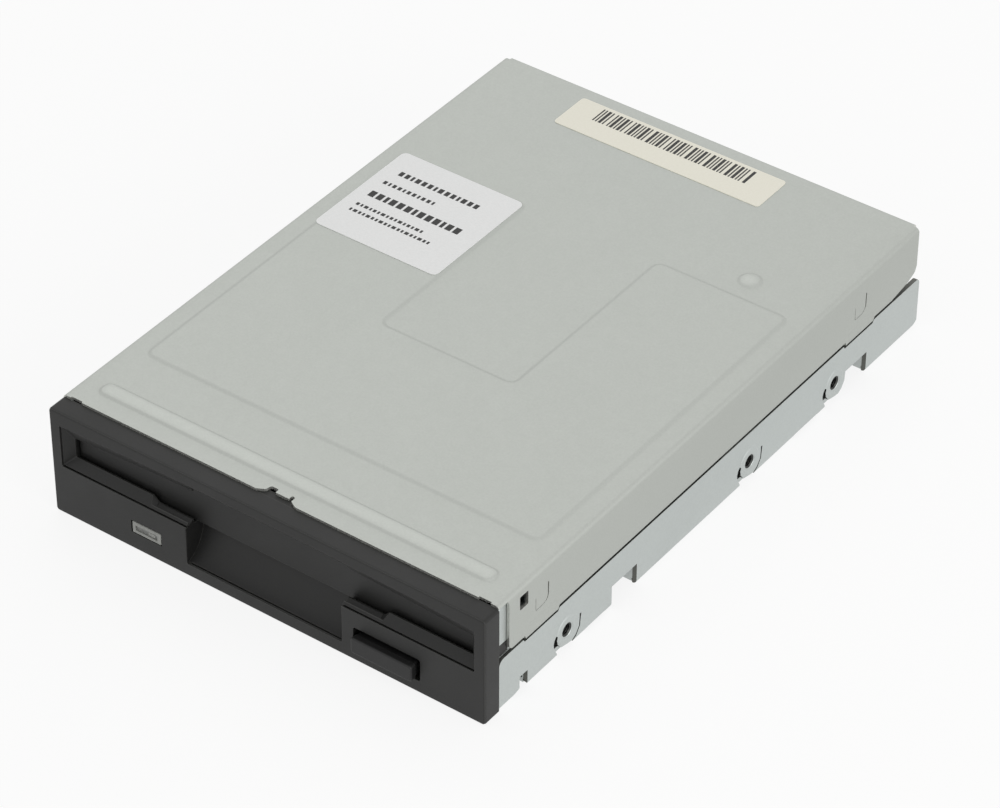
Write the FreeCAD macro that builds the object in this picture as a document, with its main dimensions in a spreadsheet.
import FreeCAD, Part
import math
import os
from types import SimpleNamespace

import Sketcher

# A 3.5 inch disk drive for a computer's internal bay.
# X runs to the right seen from the front, Y to the rear and Z up, in millimetres.
# The origin lies on the underside, on the centre line, in the plane of the bezel's rear face.

SIZES = {
    # Envelope
    "drive_width": 101.6,
    "chassis_depth": 141.9,
    "cover_depth": 141.2,
    "cover_top": 25.4,
    "bezel_thickness": 4.3,
    "bezel_height": 24.9,
    # Sheet metal of the chassis
    "chassis_sheet": 1.0,
    "wall_inset": 0.4,
    "floor_under": 0.4,
    "wall_top": 12.2,
    "wall_corner": 1.2,
    "rear_chamfer_run": 3.0,
    "rear_chamfer_rise": 1.1,
    "bearing_hole_radius": 9.0,
    "upright_inset": 0.7,
    "upright_top": 24.0,
    "upright_root": 3.6,
    "upright_length": 17.3,
    "upright_start": 0.2,
    "middle_upright_length": 14.0,
    "rear_upright_length": 12.0,
    "hook_notch_depth": 3.4,
    "hook_notch_low": 12.5,
    "hook_notch_high": 15.2,
    "ledge_reach": 6.4,
    "ledge_length": 6.0,
    "ledge_gap": 0.2,
    "front_ledge_from_pin": 10.0,
    "rear_ledge_from_pin": 9.0,
    # Screw holes of the side and bottom patterns
    "mount_hole_radius": 1.25,
    "side_hole_height": 5.0,
    "side_hole_front": 21.0,
    "side_hole_middle_pitch": 60.0,
    "side_hole_rear_pitch": 30.0,
    "side_pad_radius": 4.4,
    "side_slot_offset": 3.7,
    "side_slot_width": 0.5,
    "side_slot_top": 5.7,
    "side_slot_sink": 0.04,
    "bottom_hole_front": 31.0,
    "bottom_hole_pitch": 70.0,
    "bottom_hole_spread": 79.3,
    "bottom_pad_length": 7.0,
    "bottom_pad_inner": 33.0,
    "bottom_pad_lap": 0.25,
    "bottom_relief_length": 8.8,
    "bottom_relief_height": 1.2,
    # Cut-outs low in the chassis walls
    "front_slot_start": 6.35,
    "front_slot_length": 2.55,
    "front_slot_top": 3.9,
    "lance_length": 8.1,
    "lance_top": 5.2,
    "lance_front_start": 35.4,
    "lance_rear_start": 114.8,
    "lance_reach": 6.0,
    # Sheet metal of the top cover
    "cover_sheet": 0.6,
    "cover_bend": 1.0,
    "skirt_front": 3.0,
    "skirt_low": 13.0,
    "skirt_corner": 1.2,
    "rear_low": 15.0,
    "rear_rise_start": 131.0,
    "rear_relief": 2.3,
    "skirt_tab_drop": 0.9,
    "skirt_tab_length": 10.2,
    "front_tab_start": 8.0,
    "rear_tab_start": 114.3,
    "skirt_window_start": 6.2,
    "skirt_window_length": 2.5,
    "skirt_window_low": 20.2,
    "skirt_window_height": 3.1,
    "tongue_length": 3.6,
    "tongue_low": 16.8,
    "tongue_high": 21.1,
    "tongue_slot": 0.5,
    "front_tongue_start": 11.1,
    "rear_tongue_start": 117.2,
    "emboss_height": 0.35,
    "emboss_wall": 0.5,
    "rib_front": 4.0,
    "rib_depth": 3.8,
    "panel_half_width": 46.0,
    "panel_front": 18.4,
    "panel_back": 100.0,
    "panel_notch_front": 52.3,
    "panel_notch_half_width": 15.8,
    "dimple_across": 33.4,
    "dimple_back": 105.8,
    "dimple_radius": 2.8,
    "edge_notch_left": 2.4,
    "edge_notch_right": 3.1,
    "edge_notch_depth": 2.2,
    "edge_tab_left": 0.7,
    "edge_tab_right": 2.4,
    "edge_tab_depth": 1.0,
    # Labels
    "label_thickness": 0.12,
    "rating_left": 46.4,
    "rating_width": 30.0,
    "rating_front": 70.3,
    "rating_length": 29.6,
    "barcode_left": 28.8,
    "barcode_width": 50.0,
    "barcode_front": 126.9,
    "barcode_length": 10.6,
    # Bezel
    "bezel_edge": 0.7,
    "funnel_half_width": 48.4,
    "funnel_low": 12.1,
    "funnel_high": 22.3,
    "funnel_depth": 2.3,
    "slot_half_width": 46.6,
    "slot_low": 13.6,
    "slot_high": 18.7,
    "lip_thickness": 2.5,
    "door_room_low": 11.3,
    "door_room_high": 21.6,
    "door_room_half_width": 47.0,
    "thumb_half_width": 18.3,
    "thumb_radius": 7.5,
    "thumb_axis_height": 10.1,
    "thumb_axis_front": 2.3,
    "thumb_wall": 1.5,
    "thumb_notch_high": 20.4,
    "lip_step_width": 8.7,
    "lip_step_drop": 0.8,
    "lamp_left": 31.5,
    "lamp_width": 7.1,
    "lamp_low": 4.2,
    "lamp_height": 2.8,
    "lamp_proud": 0.12,
    "lamp_depth": 6.5,
    "lamp_clearance": 0.1,
    "hook_width": 2.7,
    "hook_clearance": 0.2,
    # Door behind the slot
    "door_thickness": 1.0,
    "door_gap": 0.3,
    "door_end_gap": 0.6,
    "door_low": 11.8,
    "door_axis_height": 20.6,
    "door_barrel_radius": 0.6,
    "door_pin_radius": 0.45,
    "door_pin_reach": 0.9,
    "door_pin_end_gap": 0.1,
    "door_spring_room": 2.4,
    "spring_wire": 0.1,
    "spring_turn_pitch": 0.42,
    "running_clearance": 0.05,
    # Eject button
    "button_left": 21.0,
    "button_width": 15.2,
    "button_low": 2.9,
    "button_height": 5.0,
    "button_clearance": 0.3,
    "button_proud": 1.6,
    "button_back": 9.0,
    "button_wall": 1.2,
    "button_face": 2.4,
    "button_edge": 0.5,
    "eject_travel": 6.5,
    # Slide plate with its cam slots
    "slide_sheet": 0.7,
    "slide_top": 10.1,
    "slide_back": 92.0,
    "slide_strip": 7.2,
    "slide_window_half_width": 33.0,
    "slide_ear_length": 14.0,
    "slide_ear_top": 17.8,
    "slide_tab_width": 9.0,
    "slide_tab_rise": 0.6,
    "slide_spring_radius": 1.5,
    "slide_spring_wire": 0.3,
    "slide_spring_length": 30.0,
    "slide_spring_inset": 3.0,
    # Disk holder
    "holder_sheet": 0.6,
    "holder_low": 13.8,
    "holder_high": 18.2,
    "holder_inner": 45.35,
    "holder_front": 10.0,
    "holder_back": 92.0,
    "holder_lip": 3.85,
    "holder_drop": 2.8,
    "holder_side_gap": 0.3,
    "pin_radius": 1.0,
    "front_pin_back": 14.0,
    "pin_pitch": 65.0,
    "head_slot_half_width": 9.0,
    "head_slot_front": 62.0,
    "leaf_width": 8.0,
    "leaf_length": 30.0,
    "leaf_thickness": 0.3,
    "leaf_across": 26.0,
    "leaf_front": 24.0,
    # Shutter lever
    "lever_pivot_left": 38.0,
    "lever_pivot_back": 66.0,
    "lever_arm": 24.0,
    "lever_width": 5.0,
    "lever_thickness": 0.8,
    "lever_rest_angle": 20.0,
    "lever_swing": 35.0,
    "lever_tip_radius": 1.2,
    "lever_tip_low": 14.4,
    "lever_pivot_radius": 1.5,
    "lever_head_radius": 2.6,
    "lever_head_height": 0.5,
    "lever_spring_height": 0.7,
    # Spindle motor
    "spindle_back": 47.0,
    "motor_board_thickness": 1.0,
    "motor_board_half_width": 27.0,
    "motor_board_front": 19.0,
    "motor_board_back": 72.5,
    "motor_post_height": 0.6,
    "post_radius": 2.6,
    "motor_post_across": 23.5,
    "motor_post_inset": 3.5,
    "bearing_radius": 6.0,
    "bearing_flange_radius": 8.5,
    "bearing_flange": 0.6,
    "bearing_top": 7.3,
    "shaft_radius": 2.0,
    "shaft_low": 1.9,
    "shaft_tip": 13.2,
    "shaft_chamfer": 0.5,
    "stator_radius": 20.5,
    "stator_hub_radius": 9.5,
    "stator_low": 4.4,
    "stator_thickness": 1.4,
    "tooth_count": 12,
    "tooth_width": 2.0,
    "tooth_shoe_width": 7.0,
    "tooth_shoe": 1.6,
    "coil_inner": 11.6,
    "coil_outer": 18.2,
    "coil_build": 0.9,
    "rotor_radius": 24.5,
    "rotor_wall": 0.8,
    "rotor_low": 3.8,
    "rotor_top": 8.4,
    "magnet_thickness": 2.4,
    "hub_radius": 12.5,
    "hub_thickness": 0.8,
    "hub_top": 11.0,
    "hub_boss_radius": 5.0,
    "drive_pin_radius": 1.4,
    "drive_pin_offset": 9.3,
    "drive_pin_top": 12.4,
    "drive_pin_leaf": 0.3,
    "drive_pin_leaf_gap": 0.1,
    "drive_pin_clearance": 0.35,
    # Head carriage, its rod and its screw
    "rod_left": 16.0,
    "rod_radius": 1.5,
    "rod_height": 8.5,
    "rod_front": 73.0,
    "rod_back": 128.0,
    "clamp_length": 4.0,
    "clamp_half_width": 3.5,
    "clamp_top": 11.0,
    "head_back": 86.5,
    "head_half_width": 3.5,
    "head_length": 5.0,
    "head_low": 11.4,
    "media_height": 12.75,
    "media_gap": 0.1,
    "head_height": 1.6,
    "arm_lift_angle": 8.0,
    "arm_thickness": 0.8,
    "arm_spring_from_head": 10.0,
    "arm_half_width": 5.0,
    "arm_hinge_from_head": 35.0,
    "arm_hinge_height": 16.5,
    "arm_hinge_radius": 0.8,
    "arm_cheek": 1.2,
    "cheek_rise": 1.6,
    "arm_side_gap": 0.1,
    "arm_bend_under": 2.4,
    "arm_bend_over": 3.6,
    "carriage_low": 5.6,
    "carriage_top": 11.4,
    "carriage_plate": 1.6,
    "carriage_front_from_head": 7.5,
    "sleeve_length": 22.0,
    "sleeve_start_from_head": 7.5,
    "sleeve_half_width": 3.0,
    "nose_half_width": 6.0,
    "tower_half_width": 8.0,
    "tower_length": 5.0,
    "flag_thickness": 0.6,
    "flag_length": 4.0,
    "flag_lift": 0.2,
    "screw_right": 20.0,
    "screw_radius": 1.5,
    "screw_height": 9.0,
    "screw_front": 76.0,
    "screw_back": 124.0,
    "screw_bearing_half_width": 3.0,
    "follower_half_width": 3.2,
    "follower_length": 7.0,
    "stepper_radius": 7.5,
    "stepper_length": 14.0,
    "bracket_thickness": 1.0,
    "bracket_half_width": 11.0,
    "bracket_top": 16.8,
    "bracket_foot": 6.0,
    "bracket_bore_radius": 3.0,
    "foot_screw_gap": 0.1,
    "bracket_board_gap": 1.0,
    # Main board with what is on it
    "board_thickness": 1.2,
    "board_post_height": 1.1,
    "board_half_width": 42.0,
    "board_front": 98.0,
    "board_back": 140.0,
    "board_post_across": 37.5,
    "board_post_inset": 8.0,
    "board_clearance": 0.5,
    "screw_head_radius": 2.3,
    "screw_head_height": 1.1,
    "screw_shank_radius": 0.95,
    "data_left": 42.0,
    "data_width": 50.0,
    "data_height": 8.8,
    "data_depth": 10.0,
    "data_wall": 1.3,
    "data_pitch": 2.54,
    "data_columns": 17,
    "data_pin": 0.64,
    "data_key": 4.5,
    "power_left": 30.5,
    "power_width": 11.4,
    "power_height": 6.4,
    "power_depth": 9.5,
    "power_wall": 1.0,
    "power_pitch": 2.5,
    "power_pin": 0.8,
    "chip_height": 1.2,
    "chip_side": 10.0,
    "chip_left": 34.0,
    "chip_front": 119.5,
    "driver_right": 26.0,
    "driver_front": 102.0,
    "driver_width": 7.5,
    "driver_length": 10.3,
    "resonator_left": 12.5,
    "resonator_front": 99.5,
    "resonator_width": 6.0,
    "resonator_length": 2.6,
    "resonator_height": 1.2,
    "capacitor_radius": 2.0,
    "capacitor_height": 5.4,
    "capacitor_across": 38.0,
    "capacitor_back": 111.2,
    "capacitor_pitch": 5.2,
    "small_part_length": 1.6,
    "small_part_width": 0.8,
    "small_part_height": 0.5,
    "small_part_pitch": 2.4,
    "small_part_count": 8,
    "socket_left": 12.9,
    "socket_width": 4.8,
    "socket_back": 119.1,
    "socket_depth": 3.0,
    "socket_height": 2.4,
    "ribbon_thickness": 0.2,
    "ribbon_width": 3.5,
    "ribbon_bend": 2.4,
    "ribbon_lap": 10.0,
    "sensor_half_width": 3.0,
    "sensor_gap": 2.0,
    "sensor_base": 1.3,
    "sensor_height": 5.3,
    "sensor_length": 5.0,
    "sensor_left": 25.0,
    "index_length": 5.0,
    "index_depth": 1.4,
    "index_gap": 0.5,
    "index_height": 1.5,
    # Sensing switches under the disk's rear corners
    "switch_across": 39.6,
    "switch_back": 10.6,
    "switch_half_side": 3.0,
    "switch_top": 8.6,
    "plunger_radius": 1.1,
    "plunger_top": 12.5,
    "plunger_low": 3.9,
    # Small working clearances
    "fit_gap": 0.02,
    "cut_over": 1.0,
}

doc = FreeCAD.newDocument("disk_drive")
sheet = doc.addObject("Spreadsheet::Sheet", "sizes")
for row, (name, value) in enumerate(SIZES.items(), 1):
    sheet.set(f"A{row}", name)
    sheet.set(f"B{row}", str(value))
    sheet.setAlias(f"B{row}", name)
doc.recompute()


class Size:
    """A length that knows its value and the expression binding it to the sheet."""

    def __init__(self, value, text):
        self.value = value
        self.text = text

    def __add__(self, other):
        other = as_size(other)
        return Size(self.value + other.value, f"({self.text} + {other.text})")

    def __radd__(self, other):
        return as_size(other) + self

    def __sub__(self, other):
        other = as_size(other)
        return Size(self.value - other.value, f"({self.text} - {other.text})")

    def __rsub__(self, other):
        return as_size(other) - self

    def __mul__(self, other):
        other = as_size(other)
        return Size(self.value * other.value, f"({self.text} * {other.text})")

    def __rmul__(self, other):
        return as_size(other) * self

    def __truediv__(self, other):
        other = as_size(other)
        return Size(self.value / other.value, f"({self.text} / {other.text})")

    def __neg__(self):
        return Size(-self.value, f"(-{self.text})")

    def __float__(self):
        return float(self.value)


def as_size(thing):
    """A number or a size, as a size."""
    if isinstance(thing, Size):
        return thing
    return Size(float(thing), f"({float(thing)})")


s = SimpleNamespace(**{name: Size(float(sheet.get(name)), f"sizes.{name}") for name in SIZES})
nodes = []

# Places that several pieces share
half_width = s.drive_width / 2
wall_outer = half_width - s.wall_inset
wall_inner = wall_outer - s.chassis_sheet
floor_top = s.floor_under + s.chassis_sheet
upright_outer = half_width - s.upright_inset
upright_inner = upright_outer - s.chassis_sheet
cover_under = s.cover_top - s.cover_sheet
panel_top = s.cover_top + s.emboss_height
bezel_front = -s.bezel_thickness
lip_back = bezel_front + s.lip_thickness
slide_under = s.slide_top - s.slide_sheet
holder_outer = s.holder_inner + s.holder_sheet
holder_top = s.holder_high + s.holder_sheet
holder_under = s.holder_low - s.holder_sheet
pin_height = (holder_top + holder_under) / 2
ear_inner = holder_outer + s.holder_side_gap
ear_outer = ear_inner + s.slide_sheet
rear_pin_back = s.front_pin_back + s.pin_pitch
pin_slot_radius = s.pin_radius + s.running_clearance
motor_board_under = floor_top + s.motor_post_height
motor_board_top = motor_board_under + s.motor_board_thickness
board_under = floor_top + s.board_post_height
board_top = board_under + s.board_thickness
hinge_back = s.head_back + s.arm_hinge_from_head
sleeve_front = s.head_back + s.sleeve_start_from_head
sleeve_back = sleeve_front + s.sleeve_length
stepper_front = s.screw_back
side_holes = [s.side_hole_front, s.side_hole_front + s.side_hole_middle_pitch,
              s.side_hole_front + s.side_hole_middle_pitch + s.side_hole_rear_pitch]
bottom_holes = [s.bottom_hole_front, s.bottom_hole_front + s.bottom_hole_pitch]
motor_posts = [(-s.motor_post_across, s.motor_board_front + s.motor_post_inset),
               (s.motor_post_across, s.motor_board_front + s.motor_post_inset),
               (-s.motor_post_across, s.motor_board_back - s.motor_post_inset),
               (s.motor_post_across, s.motor_board_back - s.motor_post_inset)]
board_posts = [(-s.board_post_across, s.board_front + s.board_post_inset),
               (s.board_post_across, s.board_front + s.board_post_inset),
               (s.board_post_across, s.board_back - s.power_depth - s.board_post_inset)]


def box(low_x, high_x, low_y, high_y, low_z, high_z):
    """A block between two coordinates on each axis."""
    made = doc.addObject("Part::Box", "block")
    spans = ((low_x, high_x, "Length", "x"), (low_y, high_y, "Width", "y"), (low_z, high_z, "Height", "z"))
    for low, high, side, letter in spans:
        low, high = sorted((as_size(low), as_size(high)), key=float)
        made.setExpression(side, (high - low).text)
        made.setExpression(f".Placement.Base.{letter}", low.text)
    return made


# A cylinder starts along Z, and each turn lays it along another axis
AXIS_TURNS = {
    "x": FreeCAD.Rotation(FreeCAD.Vector(0, 1, 0), 90),
    "y": FreeCAD.Rotation(FreeCAD.Vector(1, 0, 0), -90),
    "z": FreeCAD.Rotation(),
}


def cylinder(axis, x, y, z, radius, length):
    """A cylinder that starts at a point and runs along the positive axis."""
    made = doc.addObject("Part::Cylinder", "round")
    made.Placement = FreeCAD.Placement(FreeCAD.Vector(), AXIS_TURNS[axis])
    made.setExpression("Radius", as_size(radius).text)
    made.setExpression("Height", as_size(length).text)
    for letter, place in (("x", x), ("y", y), ("z", z)):
        made.setExpression(f".Placement.Base.{letter}", as_size(place).text)
    return made


# Which axis an outline's plane faces, and how a sketch turns to lie in it
PLANE_FACES = {"XY": "z", "XZ": "y", "YZ": "x"}
PLANE_TURNS = {
    "XY": FreeCAD.Rotation(),
    "XZ": FreeCAD.Rotation(FreeCAD.Vector(1, 0, 0), 90),
    "YZ": FreeCAD.Rotation(FreeCAD.Vector(1, 1, 1), 120),
}


def rectangle(low_u, high_u, low_v, high_v):
    """A rectangular outline, made solid between two heights over its plane."""

    def raise_it(plane, low, high):
        spans = {"XY": (low_u, high_u, low_v, high_v, low, high),
                 "XZ": (low_u, high_u, low, high, low_v, high_v),
                 "YZ": (low, high, low_u, high_u, low_v, high_v)}
        return box(*spans[plane])

    return raise_it


def circle(centre_u, centre_v, radius):
    """A round outline, made solid between two heights over its plane."""

    def raise_it(plane, low, high):
        places = {"XY": (centre_u, centre_v, low), "XZ": (centre_u, low, centre_v),
                  "YZ": (low, centre_u, centre_v)}
        return cylinder(PLANE_FACES[plane], *places[plane], radius, high - low)

    return raise_it


def polygon(points):
    """An outline through the points, as a sketch that holds each by its coordinates."""
    places = [(as_size(u), as_size(v)) for u, v in points]

    def raise_it(plane, low, high):
        sketch = doc.addObject("Sketcher::SketchObject", "outline")
        sketch.Placement = FreeCAD.Placement(FreeCAD.Vector(), PLANE_TURNS[plane])
        start = high if plane == "XZ" else low
        sketch.setExpression(f".Placement.Base.{PLANE_FACES[plane]}", start.text)
        corners = [FreeCAD.Vector(u.value, v.value, 0) for u, v in places]
        count = len(corners)
        sketch.addGeometry([Part.LineSegment(corners[step], corners[(step + 1) % count])
                            for step in range(count)])
        rules = [Sketcher.Constraint("Coincident", step, 2, (step + 1) % count, 1) for step in range(count)]
        for step, (u, v) in enumerate(places):
            rules.append(Sketcher.Constraint("DistanceX", -1, 1, step, 1, u.value))
            rules.append(Sketcher.Constraint("DistanceY", -1, 1, step, 1, v.value))
        sketch.addConstraint(rules)
        for step, (u, v) in enumerate(places):
            sketch.setExpression(f"Constraints[{count + 2 * step}]", u.text)
            sketch.setExpression(f"Constraints[{count + 2 * step + 1}]", v.text)
        prism = doc.addObject("Part::Extrusion", "prism")
        prism.Base = sketch
        prism.DirMode = "Normal"
        prism.Solid = True
        prism.setExpression("LengthFwd", (high - low).text)
        return prism

    return raise_it


def funnel(front, front_y, back, back_y):
    """A block that narrows from one rectangle to another on its way to the rear."""
    made = doc.addObject("Part::Wedge", "funnel")
    places = dict(zip(("Xmin", "Xmax", "Zmin", "Zmax", "X2min", "X2max", "Z2min", "Z2max"), front + back))
    places["Ymin"] = front_y
    places["Ymax"] = back_y
    for name, place in places.items():
        made.setExpression(name, as_size(place).text)
    return made


class Piece:
    """A node made by adding and cutting solids, in the order they are named."""

    def __init__(self, label):
        self.label = label
        self.shape = None
        self.waiting = []
        self.adding = True

    def take(self, adding, plane, low, high, outlines):
        low, high = sorted((as_size(low), as_size(high)), key=float)
        if adding != self.adding:
            self.settle()
            self.adding = adding
        self.waiting += [raise_it(plane, low, high) for raise_it in outlines]

    def pad(self, plane, low, high, *outlines):
        """Add the outlines' solids between two heights over their plane."""
        self.take(True, plane, low, high, outlines)

    def pocket(self, plane, low, high, *outlines):
        """Cut the outlines' solids away."""
        self.take(False, plane, low, high, outlines)

    def cut_away(self, solid):
        """Cut away a solid made on its own."""
        if self.adding:
            self.settle()
            self.adding = False
        self.waiting.append(solid)

    def settle(self):
        """Join what waits to the shape so far, or cut it away."""
        if not self.waiting:
            return
        if self.adding:
            self.shape = fuse(([self.shape] if self.shape else []) + self.waiting)
        else:
            cutter = doc.addObject("Part::Cut", "cut")
            cutter.Base = self.shape
            cutter.Tool = fuse(self.waiting)
            self.shape = cutter
        self.waiting = []

    def round_edges(self, radius, chosen):
        """Round the edges that the test chooses."""
        self.settle()
        doc.recompute()
        numbers = [number for number, edge in enumerate(self.shape.Shape.Edges, 1) if chosen(edge)]
        if not numbers:
            raise ValueError(f"no edge to round on {self.label}")
        rounded = doc.addObject("Part::Fillet", "rounded")
        rounded.Base = self.shape
        rounded.Edges = [(number, float(radius), float(radius)) for number in numbers]
        self.shape = rounded

    def finish(self):
        """Hand the shape in under its label."""
        self.settle()
        return node(self.shape, self.label)


def fuse(pieces):
    """One solid or group of several."""
    if len(pieces) == 1:
        return pieces[0]
    made = doc.addObject("Part::MultiFuse", "joined")
    made.Shapes = pieces
    return made


def runs_along(edge, axis):
    """Whether a straight edge lies along one axis, given as 0, 1 or 2."""
    if not isinstance(edge.Curve, Part.Line):
        return False
    return abs(abs(edge.Curve.Direction[axis]) - 1) < 1e-6


def passes(edge, tolerance=1e-4, **place):
    """Whether an edge's middle has the coordinates named x, y or z."""
    middle = edge.valueAt((edge.FirstParameter + edge.LastParameter) / 2)
    for letter, wanted in place.items():
        if abs(getattr(middle, letter) - float(wanted)) > tolerance:
            return False
    return True


def node(made, label=None):
    """Hand an object in as a node under its label."""
    if label:
        made.Label = label
    nodes.append(made)
    return made


def made_by_code(label, shape):
    """A node whose shape comes from a formula."""
    made = doc.addObject("Part::Feature", label)
    made.Label = label
    made.Shape = shape
    made.Placement = FreeCAD.Placement()
    nodes.append(made)
    return made


def build_chassis():
    body = Piece("chassis")
    rear = s.chassis_depth
    body.pad("YZ", -wall_outer, wall_outer, polygon([
        (0, s.floor_under), (rear - s.rear_chamfer_run, s.floor_under),
        (rear, s.floor_under + s.rear_chamfer_rise), (rear, s.wall_top), (0, s.wall_top)]))
    body.round_edges(s.wall_corner, lambda edge: runs_along(edge, 0) and passes(edge, z=s.wall_top))
    body.pocket("XZ", -s.cut_over, rear + s.cut_over,
                rectangle(-wall_inner, wall_inner, floor_top, s.wall_top + s.cut_over))

    # Formed-down pads at the bottom screw holes, with the wall relieved beside them
    for place in bottom_holes:
        half = s.bottom_pad_length / 2
        for side in (-1, 1):
            body.pad("XY", 0, s.floor_under + s.bottom_pad_lap,
                     rectangle(side * s.bottom_pad_inner, side * wall_inner, place - half, place + half))
            body.pocket("YZ", side * wall_inner, side * (wall_outer + s.cut_over),
                        rectangle(place - s.bottom_relief_length / 2, place + s.bottom_relief_length / 2,
                                  -s.cut_over, s.bottom_relief_height))
            body.pocket("XY", s.chassis_sheet, floor_top,
                        rectangle(side * (s.bottom_pad_inner + s.floor_under),
                                  side * (wall_inner - s.floor_under), place - half + s.floor_under,
                                  place + half - s.floor_under))
    body.pocket("XY", -s.cut_over, floor_top + s.cut_over,
                *[circle(side * s.bottom_hole_spread / 2, place, s.mount_hole_radius)
                  for place in bottom_holes for side in (-1, 1)])

    # Round pads around the side screw holes, standing proud between their slots
    for side in (-1, 1):
        near, far = side * wall_outer, side * half_width
        body.pad("YZ", near, far,
                 *[circle(place, s.side_hole_height, s.side_pad_radius) for place in side_holes])
    through = half_width + s.cut_over
    body.pocket("YZ", -through, through,
                *[circle(place, s.side_hole_height, s.mount_hole_radius) for place in side_holes])
    for place in side_holes:
        for offset in (-s.side_slot_offset, s.side_slot_offset + s.side_slot_width):
            for side in (-1, 1):
                body.pocket("YZ", side * wall_inner, side * through,
                            rectangle(place + offset - s.side_slot_width / 2,
                                      place + offset + s.side_slot_width / 2,
                                      floor_top - s.side_slot_sink, s.side_slot_top))

    # Cut-outs low in the walls, whose metal is folded inwards as short flanges
    for side in (-1, 1):
        wall_span = (side * (wall_inner - s.lance_reach), side * through)
        body.pocket("YZ", *wall_span,
                    rectangle(s.front_slot_start, s.front_slot_start + s.front_slot_length, -s.cut_over,
                              s.front_slot_top))
        for start in (s.lance_front_start, s.lance_rear_start):
            body.pocket("YZ", *wall_span,
                        rectangle(start, start + s.lance_length, -s.cut_over, s.lance_top))
            body.pad("YZ", side * (wall_inner - s.lance_reach), side * wall_outer,
                     rectangle(start + s.lance_length, start + s.lance_length + s.chassis_sheet,
                               s.floor_under, s.lance_top))

    # Uprights behind the cover's skirt, two of them with the guide slots of the holder's pins
    spans = [(s.upright_start, s.upright_start + s.upright_length),
             (rear_pin_back - s.middle_upright_length / 2, rear_pin_back + s.middle_upright_length / 2),
             (s.rear_tab_start - s.cut_over, s.rear_tab_start - s.cut_over + s.rear_upright_length)]
    for side in (-1, 1):
        sheet_span = (side * upright_inner, side * upright_outer)
        for start, end in spans:
            body.pad("YZ", *sheet_span, rectangle(start, end, s.wall_top - s.upright_root, s.upright_top))
    body.round_edges(s.wall_corner, lambda edge: runs_along(edge, 0) and passes(edge, z=s.upright_top))
    slot_low = pin_height - s.holder_drop
    body.pocket("YZ", -half_width, half_width,
                rectangle(s.upright_start - s.cut_over, s.hook_notch_depth, s.hook_notch_low,
                          s.hook_notch_high),
                *[rectangle(place - pin_slot_radius, place + pin_slot_radius, slot_low, pin_height)
                  for place in (s.front_pin_back, rear_pin_back)])
    for height in (slot_low, pin_height):
        body.pocket("YZ", -half_width, half_width,
                    *[circle(place, height, pin_slot_radius)
                      for place in (s.front_pin_back, rear_pin_back)])
    tab_low = s.skirt_low - s.skirt_tab_drop - s.hook_clearance
    for start in (s.front_tab_start, s.rear_tab_start):
        for side in (-1, 1):
            body.pocket("YZ", side * upright_outer, side * through,
                        rectangle(start - s.hook_clearance, start + s.skirt_tab_length + s.hook_clearance,
                                  tab_low, s.wall_top + s.cut_over))

    # Ledges that carry the slide plate, and posts under the boards
    ledge_top = slide_under - s.ledge_gap
    for start in (s.front_pin_back + s.front_ledge_from_pin, rear_pin_back + s.rear_ledge_from_pin):
        for side in (-1, 1):
            body.pad("YZ", side * (wall_outer - s.ledge_reach), side * wall_outer,
                     rectangle(start, start + s.ledge_length, ledge_top - s.chassis_sheet, ledge_top))
    body.pocket("XY", -s.cut_over, floor_top + s.cut_over, circle(0, s.spindle_back, s.bearing_hole_radius))
    body.pad("XY", s.floor_under, motor_board_under,
             *[circle(across, back, s.post_radius) for across, back in motor_posts])
    body.pad("XY", s.floor_under, board_under,
             *[circle(across, back, s.post_radius) for across, back in board_posts])
    body.pocket("XY", s.floor_under - s.cut_over, board_under + s.cut_over,
                *[circle(across, back, s.screw_shank_radius + s.fit_gap)
                  for across, back in motor_posts + board_posts])
    body.finish()


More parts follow.
